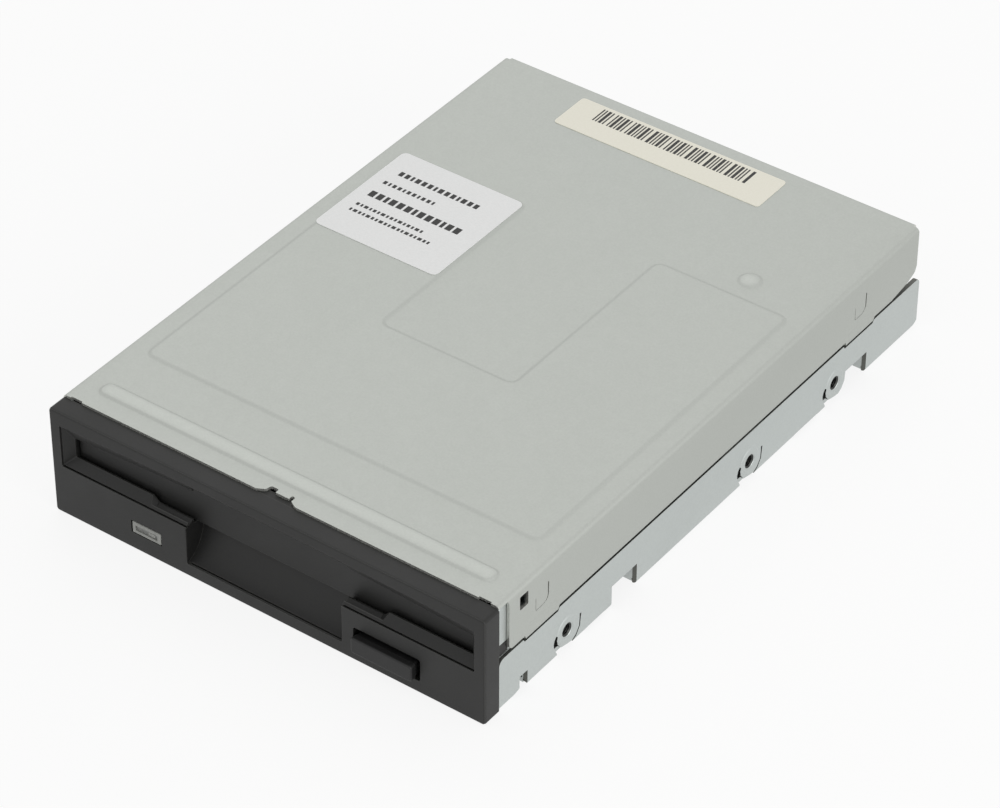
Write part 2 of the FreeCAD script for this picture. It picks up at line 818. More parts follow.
def build_cover():
    body = Piece("top_cover")
    rear = s.cover_depth
    tab_low = s.skirt_low - s.skirt_tab_drop
    front_tab_end = s.front_tab_start + s.skirt_tab_length
    rear_tab_end = s.rear_tab_start + s.skirt_tab_length
    body.pad("YZ", -half_width, half_width, polygon([
        (0, s.cover_top), (rear, s.cover_top), (rear, s.rear_low), (rear - s.rear_relief, s.rear_low),
        (s.rear_rise_start, s.skirt_low), (rear_tab_end, s.skirt_low), (rear_tab_end, tab_low),
        (s.rear_tab_start, tab_low), (s.rear_tab_start, s.skirt_low), (front_tab_end, s.skirt_low),
        (front_tab_end, tab_low), (s.front_tab_start, tab_low), (s.front_tab_start, s.skirt_low),
        (s.skirt_front, s.skirt_low), (s.skirt_front, cover_under), (0, cover_under)]))
    body.round_edges(s.skirt_corner, lambda edge: runs_along(edge, 0)
                     and passes(edge, y=s.skirt_front, z=s.skirt_low))
    inner = half_width - s.cover_sheet
    body.pocket("XZ", -s.cut_over, rear - s.cover_sheet,
                rectangle(-inner, inner, -s.cut_over, cover_under))
    body.round_edges(s.cover_bend, lambda edge: passes(edge, z=s.cover_top) and (
        runs_along(edge, 1) or (runs_along(edge, 0) and passes(edge, y=rear))))
    for side in (-1, 1):
        body.pocket("XY", s.rear_low - s.cut_over, cover_under - s.cover_bend,
                    rectangle(side * (inner - s.rear_relief), side * (half_width + s.cut_over),
                              rear - s.rear_relief, rear + s.cut_over))

    # Windows and lanced tongues in the skirts
    through = half_width + s.cut_over
    body.pocket("YZ", -through, through,
                rectangle(s.skirt_window_start, s.skirt_window_start + s.skirt_window_length,
                          s.skirt_window_low, s.skirt_window_low + s.skirt_window_height))
    for start in (s.front_tongue_start, s.rear_tongue_start):
        end = start + s.tongue_length
        body.pocket("YZ", -through, through,
                    polygon([(start, s.tongue_high), (start - s.tongue_slot, s.tongue_high),
                             (start - s.tongue_slot, s.tongue_low - s.tongue_slot),
                             (end + s.tongue_slot, s.tongue_low - s.tongue_slot),
                             (end + s.tongue_slot, s.tongue_high), (end, s.tongue_high),
                             (end, s.tongue_low), (start, s.tongue_low)]))

    # Notch in the front edge, with its small tab
    body.pocket("XY", cover_under - s.cut_over, s.cover_top + s.cut_over, polygon([
        (-s.edge_notch_left, -s.cut_over), (s.edge_notch_right, -s.cut_over),
        (s.edge_notch_right, s.edge_notch_depth), (s.edge_tab_right, s.edge_notch_depth),
        (s.edge_tab_right, s.edge_notch_depth - s.edge_tab_depth),
        (-s.edge_tab_left, s.edge_notch_depth - s.edge_tab_depth),
        (-s.edge_tab_left, s.edge_notch_depth), (-s.edge_notch_left, s.edge_notch_depth)]))

    # Pressed rib, panel and dimple: raised above, hollow below
    half = s.panel_half_width
    notch = s.panel_notch_half_width
    for inset, feature, low, high in ((as_size(0), body.pad, s.cover_top, panel_top),
                                      (s.emboss_wall, body.pocket, cover_under - s.cut_over,
                                       panel_top - s.cover_sheet)):
        rib_back = s.rib_front + s.rib_depth
        feature("XY", low, high,
                rectangle(-half + inset, half - inset, s.rib_front + inset, rib_back - inset))
        feature("XY", low, high, polygon([
            (-half + inset, s.panel_front + inset), (half - inset, s.panel_front + inset),
            (half - inset, s.panel_back - inset), (notch + inset, s.panel_back - inset),
            (notch + inset, s.panel_notch_front - inset), (-notch - inset, s.panel_notch_front - inset),
            (-notch - inset, s.panel_back - inset), (-half + inset, s.panel_back - inset)]))
        feature("XY", low, high, circle(s.dimple_across, s.dimple_back, s.dimple_radius - inset))
    body.finish()


def build_labels():
    rating_right = -s.rating_left + s.rating_width
    node(box(-s.rating_left, rating_right, s.rating_front, s.rating_front + s.rating_length,
             panel_top, panel_top + s.label_thickness), "rating_label")
    node(box(-s.barcode_left, -s.barcode_left + s.barcode_width,
             s.barcode_front, s.barcode_front + s.barcode_length,
             s.cover_top, s.cover_top + s.label_thickness), "barcode_label")


def build_bezel():
    body = Piece("bezel")
    body.pad("XZ", bezel_front, 0, rectangle(-half_width, half_width, 0, s.bezel_height))
    body.round_edges(s.bezel_edge, lambda edge: passes(edge, y=bezel_front))

    # Thickened back behind the thumb recess, and hooks into the chassis
    boss = s.thumb_half_width + s.thumb_wall
    boss_back = -s.thumb_axis_front + s.thumb_radius - s.bezel_thickness + s.thumb_wall
    body.pad("XZ", -s.fit_gap, boss_back,
             rectangle(-boss, boss, s.thumb_axis_height - s.thumb_radius, s.door_room_low))
    for side in (-1, 1):
        body.pad("XZ", -s.fit_gap, s.hook_notch_depth - s.hook_clearance, rectangle(
            side * (upright_outer - s.hook_width), side * upright_outer,
            s.hook_notch_low + s.hook_clearance, s.hook_notch_high - s.hook_clearance))

    # Funnel and slot for the disk, with room for the door behind the lip
    body.cut_away(funnel(
        (-s.funnel_half_width, s.funnel_half_width, s.funnel_low, s.funnel_high), bezel_front,
        (-s.slot_half_width, s.slot_half_width, s.slot_low, s.slot_high), bezel_front + s.funnel_depth))
    body.pocket("XZ", bezel_front + s.funnel_depth - s.fit_gap, lip_back + s.fit_gap,
                rectangle(-s.slot_half_width, s.slot_half_width, s.slot_low, s.slot_high))
    body.pocket("XZ", lip_back, s.cut_over, rectangle(
        -s.door_room_half_width, s.door_room_half_width, s.door_room_low, s.door_room_high))
    body.pocket("XZ", bezel_front + s.thumb_wall, lip_back + s.cut_over, rectangle(
        -s.thumb_half_width, s.thumb_half_width, s.slot_low, s.thumb_notch_high))
    step_end = s.thumb_half_width + s.lip_step_width
    body.pocket("XZ", bezel_front + s.thumb_wall, lip_back + s.cut_over, rectangle(
        -step_end, step_end, s.slot_low - s.lip_step_drop, s.slot_high))

    # Thumb recess with its round floor
    axis_back = bezel_front - s.thumb_axis_front
    body.pocket("YZ", -s.thumb_half_width, s.thumb_half_width,
                circle(axis_back, s.thumb_axis_height, s.thumb_radius))
    body.pocket("YZ", -s.thumb_half_width, s.thumb_half_width, rectangle(
        axis_back, axis_back + s.thumb_radius, s.thumb_axis_height, s.slot_low + s.fit_gap))

    # Openings for the lamp, the button and the door's pins
    body.pocket("XZ", bezel_front - s.cut_over, s.cut_over,
                rectangle(-s.lamp_left, -s.lamp_left + s.lamp_width, s.lamp_low,
                          s.lamp_low + s.lamp_height),
                rectangle(s.button_left, s.button_left + s.button_width, s.button_low,
                          s.button_low + s.button_height))
    pin_room = s.door_room_half_width + s.door_pin_reach + s.door_pin_end_gap
    body.pocket("YZ", -pin_room, pin_room,
                circle(lip_back + s.door_gap + s.door_thickness / 2, s.door_axis_height,
                       s.door_pin_radius + s.running_clearance))
    body.finish()


def build_lamp():
    gap = s.lamp_clearance
    node(box(-s.lamp_left + gap, -s.lamp_left + s.lamp_width - gap,
             bezel_front - s.lamp_proud, bezel_front - s.lamp_proud + s.lamp_depth,
             s.lamp_low + gap, s.lamp_low + s.lamp_height - gap), "activity_lamp")


def build_door():
    middle = lip_back + s.door_gap + s.door_thickness / 2
    half = s.door_room_half_width - s.door_end_gap
    spring_start = half - s.door_spring_room
    body = Piece("slot_door")
    body.pad("XZ", middle - s.door_thickness / 2, middle + s.door_thickness / 2,
             rectangle(-half, half, s.door_low, s.door_axis_height - s.door_spring_room / 2),
             rectangle(-spring_start, spring_start, s.door_low, s.door_axis_height))
    body.pad("YZ", -spring_start, spring_start, circle(middle, s.door_axis_height, s.door_barrel_radius))
    reach = s.door_room_half_width + s.door_pin_reach
    body.pad("YZ", -reach, reach, circle(middle, s.door_axis_height, s.door_pin_radius))
    body.finish()

    # A closing coil on the pin at each end
    coil_radius = s.door_pin_radius + s.running_clearance + s.spring_wire
    turns = s.door_spring_room / s.spring_turn_pitch
    coils = []
    for side in (-1, 1):
        rings = int(float(turns))
        for ring in range(rings):
            across = side * (spring_start.value + (ring + 0.5) * s.spring_turn_pitch.value)
            place = FreeCAD.Vector(across, middle.value, s.door_axis_height.value)
            coils.append(Part.makeTorus(coil_radius.value, s.spring_wire.value, place,
                                        FreeCAD.Vector(1, 0, 0)))
    made_by_code("door_spring", Part.makeCompound(coils))


def build_button():
    gap = s.button_clearance
    left = s.button_left + gap
    right = s.button_left + s.button_width - gap
    low = s.button_low + gap
    high = s.button_low + s.button_height - gap
    front = bezel_front - s.button_proud
    body = Piece("eject_button")
    body.pad("XZ", front, s.button_back, rectangle(left, right, low, high))
    body.round_edges(s.button_edge, lambda edge: passes(edge, y=front))
    wall = s.button_wall
    body.pocket("XZ", front + s.button_face, s.button_back + s.cut_over,
                rectangle(left + wall, right - wall, low + wall, high - wall))
    body.finish()


def build_slide():
    body = Piece("slide_plate")
    edge = ear_outer
    front = s.holder_front - s.hook_clearance
    body.pad("XY", slide_under, s.slide_top,
             rectangle(-edge, edge, front, front + s.slide_strip),
             rectangle(-edge, -s.slide_window_half_width, front, s.slide_back),
             rectangle(s.slide_window_half_width, edge, front, s.slide_back))
    ear_start = s.front_pin_back - (s.slide_ear_length - s.eject_travel) / 2
    ear_spans = [(ear_start + shift, ear_start + shift + s.slide_ear_length)
                 for shift in (as_size(0), s.pin_pitch)]
    for side in (-1, 1):
        body.pad("YZ", side * ear_inner, side * ear_outer,
                 *[rectangle(start, end, slide_under, s.slide_ear_top) for start, end in ear_spans])

    # Tab that the button's back rests on
    tab_middle = s.button_left + s.button_width / 2
    body.pad("XZ", s.button_back, s.button_back + s.chassis_sheet,
             rectangle(tab_middle - s.slide_tab_width / 2, tab_middle + s.slide_tab_width / 2,
                       s.button_low + s.slide_tab_rise, s.slide_top))
    body.pad("XY", slide_under, s.slide_top,
             rectangle(tab_middle - s.slide_tab_width / 2, tab_middle + s.slide_tab_width / 2,
                       s.button_back, front + s.slide_strip))

    # Sloping cam slots: as the plate comes forward, the pins sink by the holder's drop
    for pin_back in (s.front_pin_back, rear_pin_back):
        end_back = pin_back + s.eject_travel
        end_height = pin_height - s.holder_drop
        length = math.hypot(float(s.eject_travel), float(s.holder_drop))
        lean_back = s.holder_drop * (float(pin_slot_radius) / length)
        lean_up = s.eject_travel * (float(pin_slot_radius) / length)
        body.pocket("YZ", -half_width, half_width, circle(pin_back, pin_height, pin_slot_radius),
                    circle(end_back, end_height, pin_slot_radius),
                    polygon([(pin_back - lean_back, pin_height - lean_up),
                             (end_back - lean_back, end_height - lean_up),
                             (end_back + lean_back, end_height + lean_up),
                             (pin_back + lean_back, pin_height + lean_up)]))
    switch_room = s.plunger_radius + s.door_pin_reach
    body.pocket("XY", slide_under - s.cut_over, s.slide_top + s.cut_over,
                *[rectangle(side * (s.switch_across - switch_room),
                            side * (s.switch_across + switch_room), front - s.cut_over,
                            s.switch_back + s.eject_travel + switch_room) for side in (-1, 1)])
    body.finish()

    # Two springs under the rails, hooked to a ledge in front and to the plate behind
    coils = []
    radius = s.slide_spring_radius
    spring_front = s.front_pin_back + s.front_ledge_from_pin + s.ledge_length
    for side in (-1, 1):
        across = side * (s.slide_window_half_width + s.slide_spring_inset)
        height = slide_under - radius - s.ledge_gap
        outer = cylinder("y", across, spring_front, height, radius, s.slide_spring_length)
        inner = cylinder("y", across, spring_front, height, radius - s.slide_spring_wire,
                         s.slide_spring_length)
        hollow = doc.addObject("Part::Cut", "coil")
        hollow.Base = outer
        hollow.Tool = inner
        coils.append(hollow)
    node(fuse(coils), "slide_springs")


def build_holder():
    body = Piece("cassette_holder")
    front, back = s.holder_front, s.holder_back
    body.pad("XZ", front, back, rectangle(-holder_outer, holder_outer, holder_under, holder_top))
    lip_edge = s.holder_inner - s.holder_lip
    body.pocket("XZ", front - s.cut_over, back + s.cut_over,
                rectangle(-s.holder_inner, s.holder_inner, s.holder_low, s.holder_high),
                rectangle(-lip_edge, lip_edge, holder_under - s.cut_over, s.holder_low + s.fit_gap))
    tip_room = s.lever_tip_radius + s.cut_over
    rest = math.radians(float(s.lever_rest_angle))
    swung = math.radians(float(s.lever_rest_angle + s.lever_swing))
    tips = [(-s.lever_pivot_left + s.lever_arm * math.cos(angle),
             s.lever_pivot_back + s.lever_arm * math.sin(angle)) for angle in (rest, swung)]
    body.pocket("XY", s.holder_high - s.cut_over, holder_top + s.cut_over,
                rectangle(-s.head_slot_half_width, s.head_slot_half_width, s.head_slot_front,
                          back + s.cut_over),
                rectangle(tips[1][0] - tip_room, tips[0][0] + tip_room, tips[0][1] - tip_room,
                          tips[1][1] + tip_room))
    body.finish()
    pin_length = upright_outer - holder_outer
    pins = [cylinder("x", start, back, pin_height, s.pin_radius, pin_length)
            for start in (-upright_outer, holder_outer) for back in (s.front_pin_back, rear_pin_back)]
    node(fuse(pins), "holder_pins")
    leaves = [box(side * s.leaf_across, side * (s.leaf_across + s.leaf_width), s.leaf_front,
                  s.leaf_front + s.leaf_length, holder_top, holder_top + s.leaf_thickness)
              for side in (-1, 1)]
    node(fuse(leaves), "disk_springs")


def build_lever():
    pivot = (-s.lever_pivot_left, s.lever_pivot_back)
    under = holder_top + s.fit_gap
    top = under + s.lever_thickness
    rest = math.radians(float(s.lever_rest_angle))
    along = (math.cos(rest), math.sin(rest))
    half = s.lever_width / 2
    tip = (pivot[0] + s.lever_arm * along[0], pivot[1] + s.lever_arm * along[1])
    sides = [(place[0] + half * turn * -along[1], place[1] + half * turn * along[0])
             for place, turn in ((pivot, -1), (tip, -1), (tip, 1), (pivot, 1))]
    body = Piece("eject_lever")
    body.pad("XY", under, top, circle(*pivot, half), circle(*tip, half), polygon(sides))
    body.pad("XY", s.lever_tip_low, top, circle(*tip, s.lever_tip_radius))
    body.pocket("XY", under - s.cut_over, top + s.cut_over,
                circle(*pivot, s.lever_pivot_radius + s.running_clearance))
    body.finish()
    pin = Piece("lever_pivot")
    spring_low = top + s.fit_gap
    spring_high = spring_low + s.lever_spring_height
    head_low = spring_high + s.fit_gap
    pin.pad("XY", holder_top, head_low + s.lever_head_height, circle(*pivot, s.lever_pivot_radius))
    pin.pad("XY", head_low, head_low + s.lever_head_height, circle(*pivot, s.lever_head_radius))
    pin.finish()
    coil = Piece("lever_spring")
    coil.pad("XY", spring_low, spring_high, circle(*pivot, s.lever_head_radius - s.running_clearance))
    coil.pocket("XY", top, spring_high + s.cut_over,
                circle(*pivot, s.lever_pivot_radius + s.running_clearance))
    coil.finish()


def screw(across, back, seat, length):
    """A pan-head screw whose head sits on a seat."""
    head = cylinder("z", across, back, seat, s.screw_head_radius, s.screw_head_height)
    shank = cylinder("z", across, back, seat - length, s.screw_shank_radius, length)
    return fuse([head, shank])


def build_motor():
    centre = (0, s.spindle_back)
    board = Piece("motor_board")
    board.pad("XY", motor_board_under, motor_board_top,
              rectangle(-s.motor_board_half_width, s.motor_board_half_width, s.motor_board_front,
                        s.motor_board_back))
    board.pocket("XY", motor_board_under - s.cut_over, motor_board_top + s.cut_over,
                 circle(*centre, s.bearing_radius + s.fit_gap),
                 *[circle(*post, s.screw_shank_radius + s.fit_gap) for post in motor_posts])
    board.finish()
    node(fuse([screw(*post, motor_board_top, s.motor_board_thickness + s.motor_post_height)
               for post in motor_posts]), "motor_screws")

    bearing = Piece("spindle_bearing")
    bearing.pad("XY", floor_top, s.bearing_top, circle(*centre, s.bearing_radius))
    bearing.pad("XY", motor_board_top, motor_board_top + s.bearing_flange,
                circle(*centre, s.bearing_flange_radius))
    bearing.pocket("XY", floor_top - s.cut_over, s.bearing_top + s.cut_over,
                   circle(*centre, s.shaft_radius + s.running_clearance))
    bearing.finish()

    # Stator teeth point outwards to the magnet, each with its coil
    teeth, windings = [], []
    stator_high = s.stator_low + s.stator_thickness
    for step in range(int(float(s.tooth_count))):
        turn = FreeCAD.Placement(FreeCAD.Vector(),
                                 FreeCAD.Rotation(FreeCAD.Vector(0, 0, 1),
                                                  360 * step / float(s.tooth_count)),
                                 FreeCAD.Vector(0, float(s.spindle_back), 0))
        width, shoe = float(s.tooth_width), float(s.tooth_shoe_width)
        low, thick, build = float(s.stator_low), float(s.stator_thickness), float(s.coil_build)
        reach, hub, over = float(s.stator_radius), float(s.stator_hub_radius), float(s.cut_over)
        middle = float(s.spindle_back)
        stem = Part.makeBox(reach - hub + over, width, thick,
                            FreeCAD.Vector(hub - over, middle - width / 2, low))
        shoe_start = reach - float(s.tooth_shoe)
        head = Part.makeBox(float(s.tooth_shoe), shoe, thick,
                            FreeCAD.Vector(shoe_start, middle - shoe / 2, low))
        start, length = float(s.coil_inner), float(s.coil_outer - s.coil_inner)
        gap = float(s.fit_gap)
        wound = Part.makeBox(length, width + 2 * build, thick + 2 * build,
                             FreeCAD.Vector(start, middle - width / 2 - build, low - build))
        core = Part.makeBox(length + 2 * over, width + 2 * gap, thick + 2 * gap,
                            FreeCAD.Vector(start - over, middle - width / 2 - gap, low - gap))
        ring_limit = Part.makeCylinder(reach, thick, FreeCAD.Vector(0, middle, low))
        for made, group in ((stem.fuse(head).common(ring_limit), teeth), (wound.cut(core), windings)):
            made.Placement = turn.multiply(made.Placement)
            group.append(made)
    hub = Part.makeCylinder(float(s.stator_hub_radius), float(s.stator_thickness),
                            FreeCAD.Vector(0, float(s.spindle_back), float(s.stator_low)))
    bore = Part.makeCylinder(float(s.bearing_radius + s.fit_gap), float(stator_high),
                             FreeCAD.Vector(0, float(s.spindle_back), 0))
    made_by_code("stator_core", hub.fuse(teeth).cut(bore).removeSplitter())
    made_by_code("stator_coils", Part.makeCompound(windings))

    rotor = Piece("rotor_cup")
    rotor.pad("XY", s.rotor_low, s.rotor_top, circle(*centre, s.rotor_radius))
    rotor.pocket("XY", s.rotor_low - s.cut_over, s.rotor_top - s.rotor_wall,
                 circle(*centre, s.rotor_radius - s.rotor_wall))
    rotor.pocket("XY", s.rotor_low, s.rotor_top + s.cut_over, circle(*centre, s.shaft_radius + s.fit_gap))
    rotor.finish()
    magnet = Piece("rotor_magnet")
    magnet_outer = s.rotor_radius - s.rotor_wall - s.fit_gap
    magnet.pad("XY", s.rotor_low + s.fit_gap, s.rotor_top - s.rotor_wall - s.fit_gap,
               circle(*centre, magnet_outer))
    magnet.pocket("XY", s.rotor_low - s.cut_over, s.rotor_top,
                  circle(*centre, magnet_outer - s.magnet_thickness))
    magnet.finish()
    shaft = Piece("spindle_shaft")
    shaft.pad("XY", s.shaft_low, s.shaft_tip, circle(*centre, s.shaft_radius))
    shaft.round_edges(s.shaft_chamfer, lambda edge: passes(edge, z=s.shaft_tip))
    shaft.finish()
    plate = Piece("hub_plate")
    plate.pad("XY", s.hub_top - s.hub_thickness, s.hub_top, circle(*centre, s.hub_radius))
    plate.pad("XY", s.rotor_top, s.hub_top, circle(*centre, s.hub_boss_radius))
    plate.pocket("XY", s.rotor_top - s.cut_over, s.hub_top + s.cut_over,
                 circle(*centre, s.shaft_radius + s.fit_gap))
    plate.pocket("XY", s.hub_top - s.hub_thickness - s.cut_over, s.hub_top + s.cut_over,
                 circle(s.drive_pin_offset, s.spindle_back, s.drive_pin_radius + s.drive_pin_clearance))
    plate.finish()
    pin = Piece("drive_pin")
    leaf_high = s.hub_top - s.hub_thickness - s.drive_pin_leaf_gap
    leaf_low = leaf_high - s.drive_pin_leaf
    pin.pad("XY", leaf_low, s.drive_pin_top, circle(s.drive_pin_offset, s.spindle_back, s.drive_pin_radius))
    pin.pad("XY", leaf_low, leaf_high,
            rectangle(s.hub_boss_radius + s.fit_gap, s.drive_pin_offset,
                      s.spindle_back - s.drive_pin_radius, s.spindle_back + s.drive_pin_radius))
    pin.finish()
    half = s.index_length / 2
    node(box(s.rotor_radius + s.index_gap, s.rotor_radius + s.index_gap + s.index_depth,
             s.spindle_back - half, s.spindle_back + half, motor_board_top,
             motor_board_top + s.index_height), "index_sensor")


def build_carriage():
    rod = (-s.rod_left, s.rod_height)
    node(cylinder("y", -s.rod_left, s.rod_front, s.rod_height, s.rod_radius, s.rod_back - s.rod_front),
         "guide_rod")
    clamps = []
    for start in (s.rod_front, s.rod_back - s.clamp_length):
        block = Piece("rod_clamp")
        block.pad("XZ", start, start + s.clamp_length,
                  rectangle(-s.rod_left - s.clamp_half_width, -s.rod_left + s.clamp_half_width, floor_top,
                            s.clamp_top))
        block.pocket("XZ", start - s.cut_over, start + s.clamp_length + s.cut_over,
                     circle(*rod, s.rod_radius + s.fit_gap))
        block.settle()
        clamps.append(block.shape)
    node(fuse(clamps), "rod_clamps")

    body = Piece("head_carriage")
    nose_front = s.head_back - s.carriage_front_from_head
    plate_low = s.carriage_top - s.carriage_plate
    follower_left = s.screw_right - s.follower_half_width
    body.pad("XY", plate_low, s.carriage_top,
             rectangle(-s.nose_half_width, s.nose_half_width, nose_front, sleeve_back),
             rectangle(-s.rod_left - s.sleeve_half_width, follower_left, sleeve_front, sleeve_back))
    body.pad("XZ", sleeve_front, sleeve_back,
             rectangle(-s.rod_left - s.sleeve_half_width, -s.rod_left + s.sleeve_half_width,
                       s.carriage_low, s.carriage_top))
    tower_top = s.media_height + s.media_gap + s.carriage_plate / 2
    body.pad("XY", plate_low, tower_top,
             rectangle(-s.tower_half_width, s.tower_half_width, sleeve_back,
                       hinge_back + s.tower_length / 2))
    for side in (-1, 1):
        body.pad("XY", s.carriage_top, s.arm_hinge_height + s.cheek_rise, rectangle(
            side * s.tower_half_width, side * (s.tower_half_width - s.arm_cheek),
            hinge_back - s.tower_length / 2, hinge_back + s.tower_length / 2))
    body.pad("XY", plate_low, s.carriage_top, rectangle(
        -s.sensor_left - s.flag_thickness / 2, -s.rod_left, sleeve_back - s.flag_length, sleeve_back))
    body.pad("XY", s.carriage_low + s.flag_lift, s.carriage_top, rectangle(
        -s.sensor_left - s.flag_thickness / 2, -s.sensor_left + s.flag_thickness / 2,
        sleeve_back - s.flag_length, sleeve_back))
    body.pocket("XZ", sleeve_front - s.cut_over, sleeve_back + s.cut_over,
                circle(*rod, s.rod_radius + s.running_clearance))
    body.pocket("YZ", -s.tower_half_width - s.cut_over, s.tower_half_width + s.cut_over,
                circle(hinge_back, s.arm_hinge_height, s.arm_hinge_radius + s.running_clearance))
    body.finish()
    half = s.head_length / 2
    node(box(-s.head_half_width, s.head_half_width, s.head_back - half, s.head_back + half,
             s.head_low, s.media_height), "lower_head")

    follower = Piece("screw_follower")
    middle = (sleeve_front + sleeve_back) / 2
    follower.pad("XZ", middle - s.follower_length / 2, middle + s.follower_length / 2,
                 rectangle(follower_left, s.screw_right + s.follower_half_width,
                           s.screw_height, s.carriage_top))
    follower.pocket("XZ", sleeve_front, sleeve_back,
                    circle(s.screw_right, s.screw_height, s.screw_radius + s.running_clearance))
    follower.finish()

    # The arm and its head are shaped as they lie on the disk, then lifted clear of it
    head_under = s.media_height + s.media_gap
    arm_low = head_under + s.head_height
    arm_top = arm_low + s.arm_thickness
    arm_front = s.head_back - half - s.arm_thickness
    hub_half = s.tower_half_width - s.arm_cheek - s.arm_side_gap
    arm = Piece("head_arm")
    arm.pad("YZ", -s.arm_half_width, s.arm_half_width, polygon([
        (arm_front, arm_low), (hinge_back - s.arm_bend_under, arm_low),
        (hinge_back, s.arm_hinge_height), (hinge_back - s.arm_cheek, s.arm_hinge_height + s.arm_thickness),
        (hinge_back - s.arm_bend_over, arm_top), (arm_front, arm_top)]))
    arm.pad("YZ", -hub_half, hub_half,
            circle(hinge_back, s.arm_hinge_height, s.arm_hinge_radius + s.arm_thickness / 2))
    pin_half = s.tower_half_width
    arm.pad("YZ", -pin_half, pin_half, circle(hinge_back, s.arm_hinge_height, s.arm_hinge_radius))
    arm.settle()
    lifted("head_arm", arm.shape)
    lifted("upper_head", box(-s.head_half_width, s.head_half_width, s.head_back - half, s.head_back + half,
                             head_under, arm_low))
    lifted("arm_spring",
           box(-s.head_half_width / 2, s.head_half_width / 2, s.head_back + s.arm_spring_from_head,
               hinge_back - s.tower_length, arm_top, arm_top + s.leaf_thickness))

    # Flat ribbon lapped on the carriage, bending down into its socket on the main board
    across = float(-s.socket_left + (s.socket_width - s.ribbon_width) / 2)
    bend, thick = float(s.ribbon_bend), float(s.ribbon_thickness)
    top = float(s.carriage_top + s.fit_gap) + thick
    drop_back = float(s.socket_back + s.socket_depth / 2) + thick / 2
    lap_front = float(sleeve_back - s.ribbon_lap)
    low = float(board_top + s.socket_height)
    corner = FreeCAD.Vector(across, drop_back - bend, top - bend)
    lean = math.sin(math.radians(45))

    def round_corner(radius):
        return Part.Arc(corner + FreeCAD.Vector(0, 0, radius),
                        corner + FreeCAD.Vector(0, radius * lean, radius * lean),
                        corner + FreeCAD.Vector(0, radius, 0)).toShape()

    lap_top = FreeCAD.Vector(across, lap_front, top)
    lap_under = FreeCAD.Vector(across, lap_front, top - thick)
    end_back = FreeCAD.Vector(across, drop_back, low)
    end_front = FreeCAD.Vector(across, drop_back - thick, low)
    outline = Part.Wire(Part.__sortEdges__([
        Part.makeLine(lap_top, corner + FreeCAD.Vector(0, 0, bend)), round_corner(bend),
        Part.makeLine(corner + FreeCAD.Vector(0, bend, 0), end_back),
        Part.makeLine(end_back, end_front),
        Part.makeLine(end_front, corner + FreeCAD.Vector(0, bend - thick, 0)), round_corner(bend - thick),
        Part.makeLine(corner + FreeCAD.Vector(0, 0, bend - thick), lap_under),
        Part.makeLine(lap_under, lap_top)]))
    made_by_code("head_ribbon", Part.Face(outline).extrude(FreeCAD.Vector(float(s.ribbon_width), 0, 0)))


def lifted(label, item):
    """Hand a piece in, turned about the arm's hinge from the disk to its rest above it."""
    made = doc.addObject("Part::Compound", label)
    made.Links = [item]
    hinge = FreeCAD.Vector(0, float(hinge_back), float(s.arm_hinge_height))
    turn = FreeCAD.Rotation(FreeCAD.Vector(1, 0, 0), -float(s.arm_lift_angle))
    made.Placement = FreeCAD.Placement(FreeCAD.Vector(), turn, hinge)
    node(made, label)


def build_screw_drive():
    core = Piece("lead_screw")
    core.pad("XZ", s.screw_front, s.screw_back, circle(s.screw_right, s.screw_height, s.screw_radius))
    core.finish()
    bearing = Piece("screw_bearing")
    half = s.screw_bearing_half_width
    bearing.pad("XZ", s.screw_front, s.screw_front + s.clamp_length,
                rectangle(s.screw_right - half, s.screw_right + half, floor_top, s.screw_height + half))
    bearing.pocket("XZ", s.screw_front - s.cut_over, s.screw_front + s.clamp_length + s.cut_over,
                   circle(s.screw_right, s.screw_height, s.screw_radius + s.running_clearance))
    bearing.finish()
    motor = Piece("stepper_motor")
    motor.pad("XZ", stepper_front, stepper_front + s.stepper_length,
              circle(s.screw_right, s.screw_height, s.stepper_radius))
    motor.pocket("XZ", stepper_front - s.cut_over, stepper_front + s.chassis_sheet,
                 circle(s.screw_right, s.screw_height, s.screw_radius + s.running_clearance))
    motor.finish()
    bracket = Piece("stepper_bracket")
    face = stepper_front - s.fit_gap
    bracket.pad("XZ", face - s.bracket_thickness, face,
                rectangle(s.screw_right - s.bracket_half_width, s.screw_right + s.bracket_half_width,
                          floor_top, s.bracket_top))
    bracket.pad("XY", floor_top, floor_top + s.bracket_thickness,
                rectangle(s.screw_right - s.bracket_half_width, s.screw_right + s.bracket_half_width,
                          face - s.bracket_foot, face))
    bracket.pocket("XZ", face - s.bracket_thickness - s.cut_over, face + s.cut_over,
                   circle(s.screw_right, s.screw_height, s.bracket_bore_radius))
    foot_screw_across = s.bracket_half_width - s.screw_head_radius
    foot_screw_back = face - s.bracket_thickness - s.screw_head_radius - s.foot_screw_gap
    foot_screws = [(s.screw_right + side * foot_screw_across, foot_screw_back) for side in (-1, 1)]
    bracket.pocket("XY", floor_top - s.cut_over, floor_top + s.bracket_thickness + s.cut_over,
                   *[circle(*place, s.screw_shank_radius + s.fit_gap) for place in foot_screws])
    bracket.finish()
    seat = floor_top + s.bracket_thickness
    node(fuse([screw(*place, seat, s.bracket_thickness) for place in foot_screws]), "stepper_screws")


